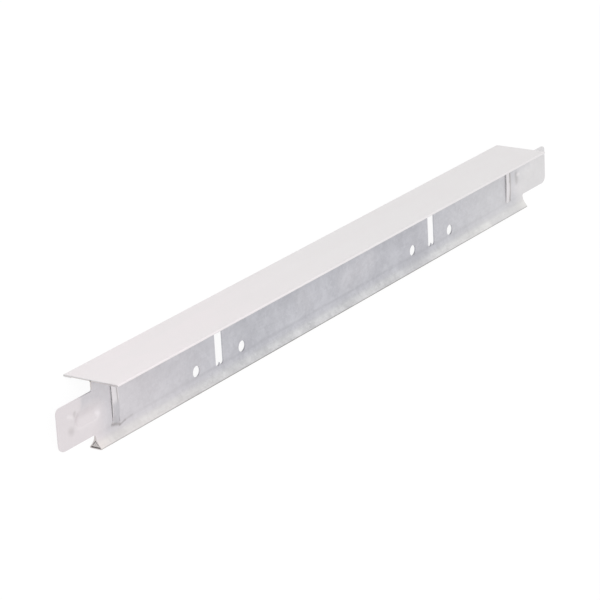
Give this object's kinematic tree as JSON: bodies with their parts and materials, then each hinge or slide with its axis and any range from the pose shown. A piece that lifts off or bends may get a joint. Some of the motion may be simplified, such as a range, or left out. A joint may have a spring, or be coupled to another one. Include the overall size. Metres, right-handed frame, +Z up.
{
  "type": "ceiling grid tee",
  "caption": "Short cross tee for a suspended ceiling: wide white capped face over a thin galvanised double web with slots, a hollow bulb and a flat tongue at each end.",
  "frame": {"origin": "on the floor, under the middle of the tee as it lies on its back side", "axes": "+X along the tee, +Y from the bulb to the white face, +Z up. The web leans 20.5 degrees from the floor"},
  "size_m": [0.34, 0.0292, 0.0225],
  "materials": {
    "galvanised_steel": "hot-dip galvanised steel sheet, small mottled spangle, satin",
    "white_paint": "factory-painted steel sheet, smooth satin white"
  },
  "bodies": {
    "root": {"tee_body": "galvanised_steel", "face_cap": "white_paint"}
  },
  "joints": []
}
